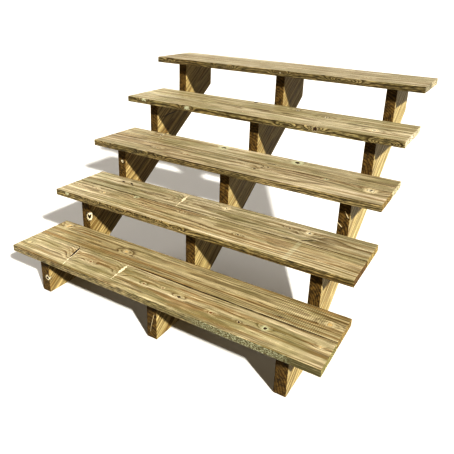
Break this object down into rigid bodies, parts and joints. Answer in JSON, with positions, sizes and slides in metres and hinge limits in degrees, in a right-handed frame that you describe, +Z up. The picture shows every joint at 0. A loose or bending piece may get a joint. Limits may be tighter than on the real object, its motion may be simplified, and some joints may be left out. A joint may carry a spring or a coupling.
{
  "type": "open-riser timber deck stair",
  "caption": "Open-riser timber stair with two-board treads on sawtooth stringers, plumb-cut at the back to fix to a deck edge and flat-footed at the ground.",
  "frame": {"origin": "centre of the middle stringer's rear plumb face, which meets the deck edge", "axes": "+X along the treads to the right of someone climbing, +Y uphill towards the deck, +Z up"},
  "size_m": [1.375, 1.295, 0.898],
  "materials": {
    "tread_timber": "planed pressure-treated softwood, yellow-tan with a greenish cast, knots and growth rings showing",
    "stringer_timber": "sawn pressure-treated softwood, brown-tan, with darker speckled cuts"
  },
  "bodies": {
    "root": {"left_stringer": "stringer_timber", "middle_stringer": "stringer_timber", "right_stringer": "stringer_timber", "tread_1_front_board": "tread_timber", "tread_1_back_board": "tread_timber", "tread_2_front_board": "tread_timber", "tread_2_back_board": "tread_timber", "tread_3_front_board": "tread_timber", "tread_3_back_board": "tread_timber", "tread_4_front_board": "tread_timber", "tread_4_back_board": "tread_timber", "tread_5_front_board": "tread_timber", "tread_5_back_board": "tread_timber"}
  },
  "joints": []
}
